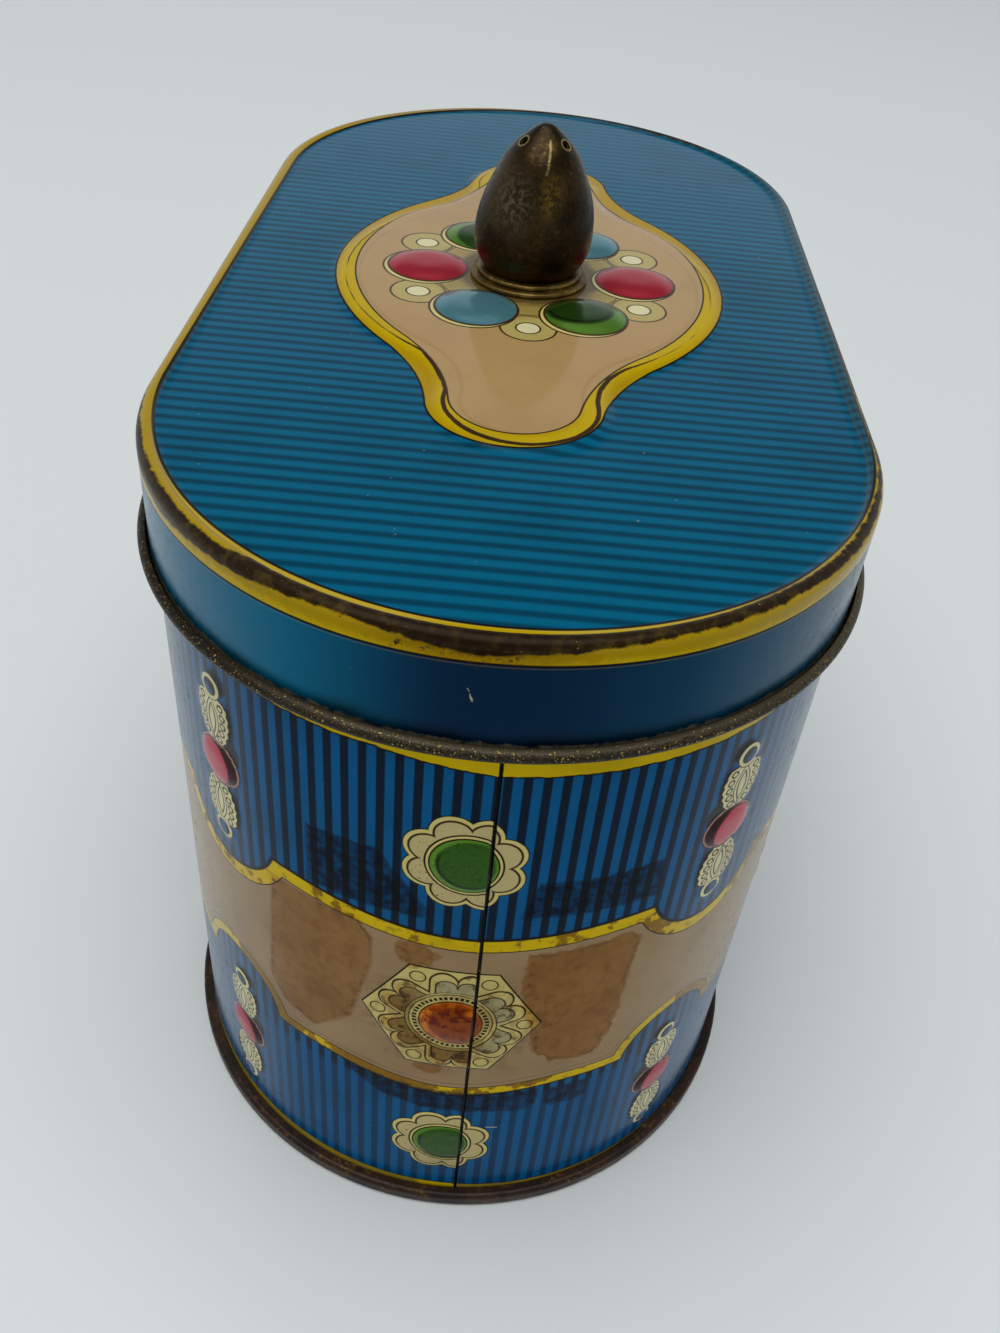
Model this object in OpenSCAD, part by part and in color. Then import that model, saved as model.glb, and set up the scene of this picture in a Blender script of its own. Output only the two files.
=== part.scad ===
// Oblong printed tin canister with a slip-on lid and a bud-shaped knob.
// All sizes are in millimetres. The canister stands on Z = 0, its long side runs along Y,
// and the body's side seam is on the end that faces -Y.

/* [Body] */
// Outer width of the body's wall
body_w = 96.7; // [84:0.1:110]
// Length of the straight sides between the two round ends
side_length = 90; // [60:1:120]
// Height of the lid's rim above the table
rim_z = 121.6; // [118:0.1:140]
// Thickness of the tinplate
sheet = 0.3; // [0.25:0.01:0.35]

/* [Side seam] */
// Place of the seam's outer line, to the right of the middle of the end
lock_x = 2.35; // [0:0.05:3]
// Width of the folded lock on the inside
lock_w = 5.6; // [4:0.1:7]
// Width of the line that the seam leaves on the outside
lock_line = 0.36; // [0.3:0.01:0.5]
// Layers of sheet that the lock adds on the inside of the wall
lock_layers = 3; // [2:1:3]

/* [Double seam] */
// How far the double seam stands out of the wall
seam_out = 1.9; // [1.8:0.05:2.4]
// Height of the double seam
seam_h = 3; // [2.8:0.1:4]
// Radius of the double seam's rounded edges
seam_bend = 0.8; // [0.7:0.05:0.9]
// Clearance at the ends of the two hooks inside the seam
hook_gap = 0.25; // [0.2:0.05:0.3]
// Height of the bottom plate's outer band above the table
plate_z = 3.4; // [3.2:0.1:5]
// Width of the bottom plate's outer band
plate_band = 7; // [4:0.5:12]
// How far the plate's middle is pressed up
plate_step = 0.8; // [0.6:0.1:1.5]

/* [Lid] */
// Clearance between the lid's skirt and the wall
lid_gap = 0.3; // [0.3:0.01:0.4]
// Outside radius of the lid's rounded rim
rim_r = 1.3; // [1.25:0.01:1.5]
// How far the lid's panel lies below its rim
panel_drop = 0.5; // [0.3:0.05:0.8]
// Depth of the skirt, from the rim's top to the middle of the hem
skirt_h = 15.5; // [12:0.5:20]
// Radius of the curled hem
hem_r = 0.9; // [0.8:0.05:1.1]
// Gap between the hem's curled end and the skirt
hem_slot = 0.45; // [0.3:0.05:0.6]

/* [Lid cartouche] */
// Height of the raised cartouche above the panel
cartouche_h = 0.7; // [0.5:0.1:1]
// Half width of the cartouche
cartouche_w = 31.2; // [28:0.1:34]
// Radius of the cartouche's long sides
cartouche_side_r = 38.8; // [36:0.1:42]
// Radius of the lobe at each end
lobe_r = 12; // [10:0.5:13]
// Distance of the lobes' centres from the middle
lobe_y = 43.3; // [41:0.1:46]
// Radius of the hollow between a side and a lobe
waist_r = 14; // [12:0.5:18]

/* [Lid jewels] */
// Number of round bosses about the knob
jewel_n = 6; // [4:1:6]
// Distance of the bosses from the knob's axis
jewel_ring = 16.8; // [16:0.1:18]
// Diameter of a boss
jewel_w = 12; // [9:0.5:12.5]
// Height of a boss
jewel_h = 1.1; // [0.6:0.1:1.5]

/* [Wall bosses] */
// Height of the upper flowers
flower_up_z = 86; // [84:0.5:90]
// Height of the lower flowers
flower_low_z = 18.5; // [16:0.5:24]
// Height of the upper drops
drop_up_z = 84; // [82:0.5:90]
// Height of the lower drops
drop_low_z = 22; // [18:0.5:24]
// Height of the brooches in the middle band
brooch_z = 51.8; // [48:0.1:58]
// Diameter of a boss in a flower, a drop or a brooch
boss_w = 8.6; // [6:0.1:9]
// Height of a boss
boss_h = 0.9; // [0.5:0.05:1.2]
// Half width of a six-sided brooch, between corners
brooch_w = 13.8; // [10:0.1:15]
// Height of the brooch's plate above the wall
brooch_h = 0.45; // [0.3:0.05:0.6]

/* [Knob] */
// Largest diameter of the bud
bud_w = 18.2; // [16:0.1:21]
// Diameter of the bud's foot
bud_foot_w = 14.8; // [12:0.1:15.5]
// Height of the bud's widest place above its foot
bud_belly_z = 5.1; // [4:0.1:7]
// Height of the pointed arch above the widest place
bud_arch_h = 17.3; // [14:0.1:22]
// Radius of the rounded tip
bud_tip_r = 2; // [1.2:0.1:3]
// Thickness of the bud's wall
bud_wall = 0.5; // [0.4:0.05:0.7]
// Number of small vent holes below the tip
vent_n = 3; // [2:1:4]
// Diameter of a vent hole
vent_w = 1.3; // [1:0.1:1.8]
// Height of the vent holes' mouths below the tip
vent_drop = 2.3; // [2:0.1:4]
// Angle of the first vent hole, counted from the canister's right side
vent_turn = -35; // [-180:5:180]

/* [Collar] */
// Diameter of the collar's flange
collar_w = 19; // [17:0.1:21]
// Thickness of the collar's flange
collar_flange = 0.9; // [0.7:0.1:1.2]
// Diameter of the bead on top of the flange
collar_bead_w = 16.9; // [16:0.1:17]
// Thickness of that bead
collar_bead = 0.8; // [0.6:0.1:1]

/* [Fastening] */
// Diameter of the knob's stud
stud_w = 3; // [2.5:0.5:4]
// Clearance all round the stud
stud_gap = 0.1; // [0.05:0.05:0.2]
// Diameter of the stud's head inside the bud
head_w = 7; // [6:0.5:9]
// Thickness of the stud's head
head_h = 1.6; // [1.2:0.1:2.5]
// Diameter of the washer
washer_w = 9; // [8:0.5:14]
// Thickness of the washer
washer_h = 0.6; // [0.5:0.1:1]
// Width of the nut across its flats
nut_w = 5.5; // [5:0.5:7]
// Height of the nut
nut_h = 2.4; // [2:0.1:3.5]
// Length of stud that shows below the nut
stud_tail = 1; // [0.5:0.1:2]

/* [Hidden] */
$fn = 96;

tin_color = [0.05, 0.27, 0.45];
plate_color = [0.35, 0.29, 0.2];
brass_color = [0.3, 0.24, 0.13];
steel_color = [0.55, 0.55, 0.56];

// A little more than nothing, so that cuts run through and pieces do not share a face by chance
slack = 0.05;
far = 200;

// Radii are measured from the line that joins the centres of the two round ends
wall_r = body_w / 2;
wall_in = wall_r - sheet;
skirt_in = wall_r + lid_gap;
skirt_r = skirt_in + sheet;
hem_z = rim_z - skirt_h;
hem_c = skirt_in + hem_r;

// The lid's rim is a rounded sheet, and its panel runs into the inner side of that curve
rim_in = rim_r - sheet;
rim_c = skirt_r - rim_r;
rim_cz = rim_z - rim_r;
panel_z = rim_z - panel_drop;
panel_edge = rim_c - sqrt(pow(rim_in, 2) - pow(rim_in - panel_drop, 2)) - slack;

// The body's top edge is curled inwards and lies in the rim's hollow side
curl_r = rim_in - lid_gap;
curl_c = wall_r - curl_r;
curl_z = rim_cz;

// Layers of the double seam, from the wall outwards: the plate's hook, the body's hook, the plate
seam_r = wall_r + seam_out;
seam_layers = 3;
seam_play = (seam_out - seam_layers * sheet) / seam_layers;
end_hook_r = wall_r + seam_play / 2;
body_hook_r = end_hook_r + sheet + seam_play;
chuck_r = wall_in - slack;

// The body's hook is turned up above the bend, and the plate's hook comes down over it
body_hook_z = seam_bend;
body_hook_end = seam_h - sheet - hook_gap;
end_hook_end = body_hook_z + sheet + hook_gap;

// How far in front of the end's centre the wall's face lies at the seam's line
lock_face = sqrt(pow(wall_r, 2) - pow(lock_x, 2));

// Heights of the knob's stack on the cartouche
deck_z = panel_z + cartouche_h;
bead_z = deck_z + collar_flange;
bud_z = bead_z + collar_bead;
head_z = bud_z + bud_wall;
washer_z = deck_z - sheet - washer_h;
nut_z = washer_z - nut_h;
stud_end_z = nut_z - stud_tail;
hole_r = stud_w / 2 + stud_gap;

// The bud's side is an arc that stands upright at the belly, with another one under it, and a
// round tip touches the upper arc from inside
belly_r = bud_w / 2;
bud_arch_r = arch_r(belly_r, bud_arch_h);
bud_under_r = arch_r((bud_w - bud_foot_w) / 2, bud_belly_z);
bud_tip_h = sqrt(pow(bud_arch_r - bud_tip_r, 2) - pow(bud_arch_r - belly_r, 2));
bud_tip_angle = atan2(bud_tip_h, bud_arch_r - belly_r);

// The vent holes are drilled square to that arc
vent_h = bud_tip_h + bud_tip_r - vent_drop;
vent_angle = asin(vent_h / bud_arch_r);

// The hollow between a side and a lobe touches both of them, so its centre follows from their radii
side_x = cartouche_side_r - cartouche_w;
side_reach = cartouche_side_r + waist_r;
lobe_reach = lobe_r + waist_r;
span = norm([side_x, lobe_y]);
along = (side_reach * side_reach - lobe_reach * lobe_reach + span * span) / (2 * span);
aside = sqrt(side_reach * side_reach - along * along);
to_lobe = [-side_x, lobe_y] / span;
waist_x = side_x + to_lobe[0] * along - to_lobe[1] * aside;
waist_y = to_lobe[1] * along + to_lobe[0] * aside;

// The pattern on the wall: a column of flowers and a brooch stands at the middle of each end and
// where each end meets a straight side, and a column of drops stands halfway between two of these
quarter = PI * wall_r / 2;
half_round = quarter + side_length / 2;
flower_s = [0, quarter, -quarter, quarter + side_length, -quarter - side_length, 2 * half_round];
drop_s = [
    quarter / 2, -quarter / 2, half_round, -half_round,
    quarter * 1.5 + side_length, -quarter * 1.5 - side_length
];

// Radius of the sphere whose cap has this width and height
function cap_r(width, height) = (width * width / 4 + height * height) / (2 * height);

// Radius of the arc that starts upright and moves in by this much over this height
function arch_r(inset, height) = (inset * inset + height * height) / (2 * inset);

// Sweeps a flat section, given as distance from the centre line and height, round the canister
module around() {
    for (turn = [0, 180]) {
        rotate(turn)
            translate([0, side_length / 2, 0])
                rotate_extrude(angle = 180)
                    children();
        rotate(turn)
            translate([0, side_length / 2, 0])
                rotate([90, 0, 0])
                    linear_extrude(side_length)
                        children();
    }
}

// A flat solid with the canister's outline
module slab(radius, z_low, z_high) {
    translate([0, 0, z_low]) {
        for (side = [1, -1])
            translate([0, side * side_length / 2, 0])
                cylinder(r = radius, h = z_high - z_low);
        translate([-radius, -side_length / 2, 0])
            cube([2 * radius, side_length, z_high - z_low]);
    }
}

module rounded_box(low, high, bend) {
    translate([low[0] + bend, low[1]])
        square([high[0] - low[0] - 2 * bend, high[1] - low[1]]);
    translate([low[0], low[1] + bend])
        square([high[0] - low[0], high[1] - low[1] - 2 * bend]);
    for (x = [low[0] + bend, high[0] - bend])
        for (y = [low[1] + bend, high[1] - bend])
            translate([x, y])
                circle(r = bend);
}

module ring_section(radius) {
    difference() {
        circle(r = radius);
        circle(r = radius - sheet);
    }
}

// Puts what follows on the wall's outer face, with its own Z pointing outwards.
// The place s runs along the wall from the middle of the front end, to the right.
module on_wall(s, z) {
    side = s < 0 ? -1 : 1;
    run = abs(s);
    if (run < quarter)
        translate([0, -side_length / 2, z])
            rotate(side * run / quarter * 90)
                translate([0, -wall_r, 0])
                    rotate([90, 0, 0])
                        children();
    else if (run <= quarter + side_length)
        translate([side * wall_r, run - quarter - side_length / 2, z])
            rotate(side * 90)
                rotate([90, 0, 0])
                    children();
    else
        translate([0, side_length / 2, z])
            rotate(side * (run - side_length) / quarter * 90)
                translate([0, -wall_r, 0])
                    rotate([90, 0, 0])
                        children();
}

// Balls whose caps are the wall's bosses; the front end's bosses are left out where wanted,
// because the lock of the side seam backs them
module boss_balls(shrink, skip_front) {
    ball_r = cap_r(boss_w, boss_h);
    for (s = flower_s)
        if (!(skip_front && s == 0))
            for (z = [flower_up_z, flower_low_z, brooch_z])
                on_wall(s, z)
                    translate([0, 0, boss_h - ball_r])
                        sphere(r = ball_r - shrink);
    for (s = drop_s)
        for (z = [drop_up_z, drop_low_z])
            on_wall(s, z)
                translate([0, 0, boss_h - ball_r])
                    sphere(r = ball_r - shrink);
}

// Six-sided plates of the brooches, cut to the wall's own curve
module brooch_plates() {
    intersection() {
        for (s = flower_s)
            on_wall(s, brooch_z)
                translate([0, 0, -brooch_w / 2])
                    cylinder(r = brooch_w, h = brooch_w, $fn = 6);
        slab(wall_r + brooch_h, brooch_z - brooch_w, brooch_z + brooch_w);
    }
}

module wall_section() {
    translate([wall_in, body_hook_z])
        square([sheet, curl_z - body_hook_z]);
    translate([wall_in, body_hook_z])
        square([body_hook_r + sheet - wall_in, sheet]);
    translate([body_hook_r, body_hook_z])
        square([sheet, body_hook_end - body_hook_z]);
    translate([curl_c, curl_z])
        difference() {
            ring_section(curl_r);
            translate([-curl_r, -curl_r])
                square([curl_r * 2 - sheet, curl_r]);
        }
}

// The folded lock on the inside of the side seam
module lock_strip() {
    low_z = plate_z + sheet + plate_step;
    high_z = curl_z - 2 * curl_r;
    depth = lock_layers * sheet;
    turn = lock_w / wall_r * 180 / PI;
    last = asin(lock_x / wall_r);
    translate([0, -side_length / 2, low_z])
        rotate(-90 + last - turn)
            rotate_extrude(angle = turn)
                translate([wall_in - depth, 0])
                    square([depth + sheet / 2, high_z - low_z]);
}

module body_shell() {
    color(tin_color)
        difference() {
            union() {
                difference() {
                    union() {
                        around()
                            wall_section();
                        difference() {
                            union() {
                                boss_balls(0, false);
                                brooch_plates();
                            }
                            slab(wall_in + sheet / 2, 0, rim_z);
                        }
                    }
                    boss_balls(sheet, true);
                }
                lock_strip();
            }
            translate([lock_x - lock_line / 2, -side_length / 2 - lock_face - far, seam_h + slack])
                cube([lock_line, far + sheet / 2, hem_z]);
        }
}

module bottom_section() {
    translate([0, plate_z + plate_step])
        square([chuck_r - plate_band, sheet]);
    translate([chuck_r - plate_band - sheet, plate_z])
        square([sheet, plate_step + sheet]);
    translate([chuck_r - plate_band - sheet, plate_z])
        square([plate_band + sheet, sheet]);
    translate([chuck_r - sheet, seam_bend])
        square([sheet, plate_z + sheet - seam_bend]);
    difference() {
        rounded_box([chuck_r - sheet, 0], [seam_r, seam_h], seam_bend);
        rounded_box([chuck_r, sheet], [seam_r - sheet, seam_h - sheet], seam_bend - sheet);
        translate([chuck_r, seam_h / 2])
            square([end_hook_r - chuck_r, seam_h]);
        translate([chuck_r - sheet - slack, seam_h / 2])
            square([sheet + 2 * slack, seam_h]);
    }
    translate([end_hook_r, end_hook_end])
        square([sheet, seam_h - sheet / 2 - end_hook_end]);
}

module bottom_plate() {
    color(plate_color)
        around()
            bottom_section();
}

// The cartouche's outline: long arched sides, a round lobe at each end and a hollow between them
module cartouche_outline(inset) {
    difference() {
        union() {
            intersection() {
                translate([side_x, 0])
                    circle(r = cartouche_side_r - inset);
                translate([-side_x, 0])
                    circle(r = cartouche_side_r - inset);
                square([cartouche_w * 2, waist_y * 2], center = true);
            }
            for (side = [1, -1]) {
                translate([0, side * lobe_y])
                    circle(r = lobe_r - inset);
                translate([-lobe_r, side > 0 ? 0 : -lobe_y])
                    square([lobe_r * 2, lobe_y]);
            }
        }
        for (x = [1, -1])
            for (y = [1, -1])
                translate([x * waist_x, y * waist_y])
                    circle(r = waist_r + inset);
    }
}

module jewel_balls(shrink) {
    ball_r = cap_r(jewel_w, jewel_h);
    for (i = [0 : jewel_n - 1])
        rotate(i * 360 / jewel_n)
            translate([jewel_ring, 0, deck_z + jewel_h - ball_r])
                sphere(r = ball_r - shrink);
}

module lid_section() {
    translate([0, panel_z - sheet])
        square([panel_edge, sheet]);
    translate([skirt_in, hem_z])
        square([sheet, rim_cz - hem_z]);
    translate([rim_c, rim_cz])
        intersection() {
            ring_section(rim_r);
            union() {
                square([rim_r, rim_r]);
                translate([-rim_r, rim_in - panel_drop])
                    square([rim_r + slack, panel_drop + sheet]);
            }
        }
    translate([hem_c, hem_z])
        difference() {
            ring_section(hem_r);
            translate([sheet - hem_r, 0])
                square([hem_slot, hem_r]);
        }
}

module lid_shell() {
    color(tin_color)
        difference() {
            union() {
                around()
                    lid_section();
                translate([0, 0, panel_z - sheet])
                    linear_extrude(sheet + cartouche_h)
                        cartouche_outline(0);
                intersection() {
                    jewel_balls(0);
                    translate([0, 0, deck_z - sheet])
                        cylinder(r = jewel_ring + jewel_w, h = far);
                }
            }
            translate([0, 0, panel_z - sheet - slack])
                linear_extrude(cartouche_h + slack)
                    cartouche_outline(sheet);
            jewel_balls(sheet);
            translate([0, 0, panel_z - far / 2])
                cylinder(r = hole_r, h = far);
        }
}

module rounded_disc(radius, thickness) {
    rotate_extrude() {
        square([radius - thickness / 2, thickness]);
        translate([radius - thickness / 2, thickness / 2])
            circle(r = thickness / 2);
    }
}

module knob_collar() {
    color(brass_color)
        difference() {
            union() {
                translate([0, 0, deck_z])
                    rounded_disc(collar_w / 2, collar_flange);
                translate([0, 0, bead_z])
                    rounded_disc(collar_bead_w / 2, collar_bead);
            }
            translate([0, 0, deck_z - slack])
                cylinder(r = hole_r, h = collar_flange + collar_bead + 2 * slack);
        }
}

// Half of the bud's outline, made smaller all round by inset
module bud_outline(inset) {
    blend_z = (bud_arch_r - inset) * sin(bud_tip_angle);
    translate([0, bud_belly_z]) {
        intersection() {
            translate([belly_r - bud_arch_r, 0])
                circle(r = bud_arch_r - inset, $fn = 180);
            square([belly_r, blend_z]);
        }
        intersection() {
            translate([0, bud_tip_h])
                circle(r = bud_tip_r - inset);
            translate([0, blend_z - slack])
                square([belly_r, bud_arch_h]);
        }
    }
    intersection() {
        translate([belly_r - bud_under_r, bud_belly_z])
            circle(r = bud_under_r - inset);
        translate([0, inset])
            square([belly_r, bud_belly_z - inset]);
    }
}

module vent_holes() {
    for (i = [0 : vent_n - 1])
        rotate(vent_turn + i * 360 / vent_n)
            translate([belly_r - bud_arch_r, 0, bud_z + bud_belly_z])
                rotate([0, 90 - vent_angle, 0])
                    translate([0, 0, bud_arch_r - 2 * bud_wall])
                        cylinder(r = vent_w / 2, h = 4 * bud_wall);
}

module knob_bud() {
    color(brass_color)
        difference() {
            translate([0, 0, bud_z])
                rotate_extrude()
                    bud_outline(0);
            translate([0, 0, bud_z])
                rotate_extrude()
                    bud_outline(bud_wall);
            translate([0, 0, bud_z - slack])
                cylinder(r = hole_r, h = bud_wall + 2 * slack);
            vent_holes();
        }
}

module knob_stud() {
    color(steel_color) {
        translate([0, 0, stud_end_z])
            cylinder(r = stud_w / 2, h = head_z - stud_end_z + head_h / 2);
        translate([0, 0, head_z])
            cylinder(r = head_w / 2, h = head_h);
    }
}

module knob_washer() {
    color(steel_color)
        translate([0, 0, washer_z])
            difference() {
                cylinder(r = washer_w / 2, h = washer_h);
                translate([0, 0, -slack])
                    cylinder(r = hole_r, h = washer_h + 2 * slack);
            }
}

module knob_nut() {
    color(steel_color)
        translate([0, 0, nut_z])
            difference() {
                cylinder(r = nut_w / 2 / cos(30), h = nut_h, $fn = 6);
                translate([0, 0, -slack])
                    cylinder(r = stud_w / 2 + slack, h = nut_h + 2 * slack);
            }
}

body_shell();
bottom_plate();
lid_shell();
knob_collar();
knob_bud();
knob_stud();
knob_washer();
knob_nut();
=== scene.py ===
"""The looks of an oblong tin canister: lithographed and embossed sheet, and an aged brass knob."""
import math

import bmesh
import bpy
import numpy as np
from mathutils import Matrix, Vector


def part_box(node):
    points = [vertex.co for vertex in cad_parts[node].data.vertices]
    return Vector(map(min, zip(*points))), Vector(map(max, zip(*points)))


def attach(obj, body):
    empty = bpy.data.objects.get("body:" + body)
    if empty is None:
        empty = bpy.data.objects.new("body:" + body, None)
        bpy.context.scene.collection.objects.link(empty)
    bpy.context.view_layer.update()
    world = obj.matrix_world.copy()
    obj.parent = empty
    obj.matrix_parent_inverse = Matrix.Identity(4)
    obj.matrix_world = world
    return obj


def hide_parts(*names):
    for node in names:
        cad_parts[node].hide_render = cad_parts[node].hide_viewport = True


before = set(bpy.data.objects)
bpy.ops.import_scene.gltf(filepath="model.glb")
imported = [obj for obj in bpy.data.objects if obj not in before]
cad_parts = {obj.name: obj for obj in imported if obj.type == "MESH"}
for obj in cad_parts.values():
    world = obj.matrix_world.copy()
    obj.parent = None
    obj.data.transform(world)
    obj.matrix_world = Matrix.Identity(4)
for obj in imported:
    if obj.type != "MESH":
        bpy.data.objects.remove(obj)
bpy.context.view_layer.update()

# Sizes in millimetres. The outline is two half rounds joined by straight sides. What the frame
# doesn't tell repeats the values of the part's source.
MM = 0.001
SHEET = 0.3
LID_GAP = 0.3
HEM_R = 0.9
HEM_SLOT = 0.45
RIM_R = 1.3
PANEL_DROP = 0.5
SEAM_H = 3.0
SEAM_BEND = 0.8
HOOK_GAP = 0.25
SEAM_OUT = 1.9

lid_low, lid_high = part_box("lid_shell")
SIDE = 2 * (lid_high.y - lid_high.x) / MM
SKIRT_IN = lid_high.x / MM - 2 * HEM_R
WALL_R = SKIRT_IN - LID_GAP
DECK_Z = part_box("knob_collar")[0].z / MM
CARTOUCHE_H = 0.7
PANEL_Z = DECK_Z - CARTOUCHE_H
RIM_Z = PANEL_Z + PANEL_DROP
HEM_Z = lid_low.z / MM + HEM_R
ROLL_R = SKIRT_IN + SHEET - RIM_R
ROLL_Z = RIM_Z - RIM_R

# How the bud leans and is turned, and its vents' mouths: their number, radius and place
BUD_FOOT_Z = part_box("knob_bud")[0].z / MM
BUD_LEAN = 0.03
BUD_TURN = math.radians(4)
VENTS, VENT_R = 3, 0.65
VENT_OUT, VENT_RISE = 3.7, 19.6
VENT_TURN = BUD_TURN - math.radians(35)

# Places along the wall are counted from the middle of the front end, to the right
QUARTER = WALL_R * math.pi / 2
HALF_WAY = QUARTER + SIDE / 2
AROUND = 4 * HALF_WAY
LOCK_S = 2.35

# The print lies a little beside the seam, loses a strip in it, and runs slightly askew
PRINT_SHIFT, LOCK_LOSS, PRINT_SKEW = 0.25, 1.25, 1.8
STRIPE_PITCH = 2.31
HEM_STRIP_Z, FOOT_STRIP_Z, SKIRT_STRIP_Z = 101.5, 4.0, 118.1

# Flowers and drops lie in an upper and a lower row, with brooches between them
FLOWER_Z = (85.7, 18.0)
PETALS = 8
DROP_Z = (84.3, 22.4)
WING_Y, WING_PITCH, DROP_RING_Y = 7.6, 1.42, 12.95
BROOCH_Z, BROOCH_W = 51.7, 13.4

# A brooch's hearts: how far out and how far aside a lobe's middle lies, and its radius
HEARTS, BEADS, BEAD_RING = 6, 48, 5.8
OUTER_HEART = (9.3, 1.9, 1.95)
INNER_HEART = (8.3, 1.5, 1.5)

# The beige band's edges at a brooch, how far they rise beside it, the bows round the drops, each
# with its middle's height and its radius, and the yellow borders' widths
BAND_TOP, BAND_FOOT = 70.4, 32.3
TOP_RISE, TOP_REACH = 2.4, 27
FOOT_RISE, FOOT_REACH = 2.6, 22
TOP_BOW, FOOT_BOW = (76.2, 10.7), (33.9, 9.3)
TOP_BORDER, FOOT_BORDER = 2.45, 2.0

# The cartouche: half its width, the radius of its sides, the lobes' radius and distance from the
# middle, and the radius of the hollows between. Its print is a little larger.
PRESSED = (31.2, 38.8, 12.3, 43.0, 14.0)
PRINTED = (31.4, 44.0, 12.2, 44.3, 30.3)

# Where each pressing and print lies on the lid: its middle's x and y, and its turn
FRAME_PRESS = (0.15, -0.2, 0.013)
FRAME_PRINT = (0.3, 1.97, -0.011)
EDGE_PRINT = (0.6, 0.75, -0.006)
JEWEL_RINGS = (0.1, 0.4, 0.03)
JEWEL_DISCS = (0.5, 0.9, 0.03)
EDGE_R, EDGE_SHORT = 47.75, 1.05
LID_STRIPE_PITCH = 2.4
JEWELS, JEWEL_RING, DOT_RING = 6, 16.9, 20
JEWEL_W, JEWEL_H = 12.2, 0.9

# How wide a print's edge fades
SOFT = 0.12

# The bake's square: its margin, and the width that is left
MARGIN = 0.003
ACROSS = 1 - 2 * MARGIN

# Math node operations as they are on arrays
ARRAY_MATHS = {
    "MINIMUM": np.minimum,
    "MAXIMUM": np.maximum,
    "SIGN": np.sign,
    "SQRT": np.sqrt,
    "SINE": np.sin,
    "COSINE": np.cos,
    "ARCTAN2": np.arctan2,
    "GREATER_THAN": lambda a, b: np.where(a > b, 1.0, 0.0),
    "PINGPONG": lambda a, b: np.abs((a - b) / (2 * b) % 1 * 2 * b - b),
}


class Field:
    """A number that varies over a surface, held by a socket. Arithmetic on it adds Math nodes."""

    def __init__(self, tree, socket):
        self.tree = tree
        self.socket = socket

    def __add__(self, other):
        return maths("ADD", self, other)

    __radd__ = __add__

    def __sub__(self, other):
        return maths("SUBTRACT", self, other)

    def __rsub__(self, other):
        return maths("SUBTRACT", other, self)

    def __mul__(self, other):
        return maths("MULTIPLY", self, other)

    __rmul__ = __mul__

    def __truediv__(self, other):
        return maths("DIVIDE", self, other)

    def __neg__(self):
        return maths("MULTIPLY", self, -1)

    def __abs__(self):
        return maths("ABSOLUTE", self)


def plug(tree, value, socket):
    if isinstance(value, Field):
        value = value.socket
    if isinstance(value, bpy.types.NodeSocket):
        tree.links.new(value, socket)
    else:
        socket.default_value = value


def parts_of(tree, vector):
    """A vector socket's three numbers."""
    node = tree.nodes.new("ShaderNodeSeparateXYZ")
    tree.links.new(vector, node.inputs[0])
    return [Field(tree, socket) for socket in node.outputs]


def maths(operation, *values, clamp=False):
    """One operation on numbers or arrays, or on fields, where it becomes a Math node."""
    fields = [value for value in values if isinstance(value, Field)]
    if not fields:
        return ARRAY_MATHS[operation](*values)
    tree = fields[0].tree
    node = tree.nodes.new("ShaderNodeMath")
    node.operation = operation
    node.use_clamp = clamp
    for value, socket in zip(values, node.inputs):
        plug(tree, value, socket)
    return Field(tree, node.outputs[0])


def least(first, *others):
    for other in others:
        first = maths("MINIMUM", first, other)
    return first


def most(first, *others):
    for other in others:
        first = maths("MAXIMUM", first, other)
    return first


def size(x, y):
    return maths("SQRT", x * x + y * y)


def angle(x, y):
    return maths("ARCTAN2", y, x)


def above(value, limit):
    return maths("GREATER_THAN", value, limit)


def fold(value, half):
    """Goes from 0 up to half and back again, and repeats."""
    return maths("PINGPONG", value, half)


def pick(switch, off, on):
    return off + switch * (on - off)


def fade(distance, soft=SOFT):
    """1 where the field of distance is below zero, 0 above it, with a soft edge."""
    return maths("MULTIPLY_ADD", distance, -1 / soft, 0.5, clamp=True)


def line(distance, width, soft=SOFT):
    return fade(abs(distance) - width / 2, soft)


def ramp(value, low, high):
    """Goes smoothly from 0 at low to 1 at high."""
    if isinstance(value, Field):
        node = value.tree.nodes.new("ShaderNodeMapRange")
        node.interpolation_type = "SMOOTHSTEP"
        for given, socket in zip((value, low, high), node.inputs):
            plug(value.tree, given, socket)
        return Field(value.tree, node.outputs[0])
    t = np.clip((value - low) / (high - low), 0, 1)
    return t * t * (3 - 2 * t)


def moved(x, y, place):
    """The same point seen from a pattern that lies there: its middle's x and y, and its turn."""
    x, y = x - place[0], y - place[1]
    cos, sin = math.cos(place[2]), math.sin(place[2])
    return x * cos + y * sin, y * cos - x * sin


# Outlines as distances in millimetres: below zero inside, above zero outside


def cartouche(x, y, shape):
    """Arched sides and round lobes, joined by hollows that touch both."""
    half_width, side_r, lobe_r, lobe_y, waist_r = shape
    x, y = abs(x), abs(y)
    side_x = side_r - half_width
    side_reach, lobe_reach = side_r + waist_r, lobe_r + waist_r
    span = math.hypot(side_x, lobe_y)
    along = (side_reach**2 - lobe_reach**2 + span**2) / (2 * span)
    aside = math.sqrt(side_reach**2 - along**2)
    to_lobe = (side_x / span, lobe_y / span)
    waist_x = -side_x + to_lobe[0] * along + to_lobe[1] * aside
    waist_y = to_lobe[1] * along - to_lobe[0] * aside
    side = size(x + side_x, y) - side_r
    lobe = size(x, y - lobe_y) - lobe_r
    waist = waist_r - size(x - waist_x, y - waist_y)
    past_side = above(y * (waist_x + side_x) - (x + side_x) * waist_y, 0)
    past_waist = above((y - lobe_y) * waist_x - x * (waist_y - lobe_y), 0)
    return pick(past_waist, pick(past_side, side, waist), lobe)


def stadium(x, y, shorter=0.0):
    """Distance from the canister's centre line."""
    return size(x, most(abs(y) - SIDE / 2 + shorter, 0))


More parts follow.
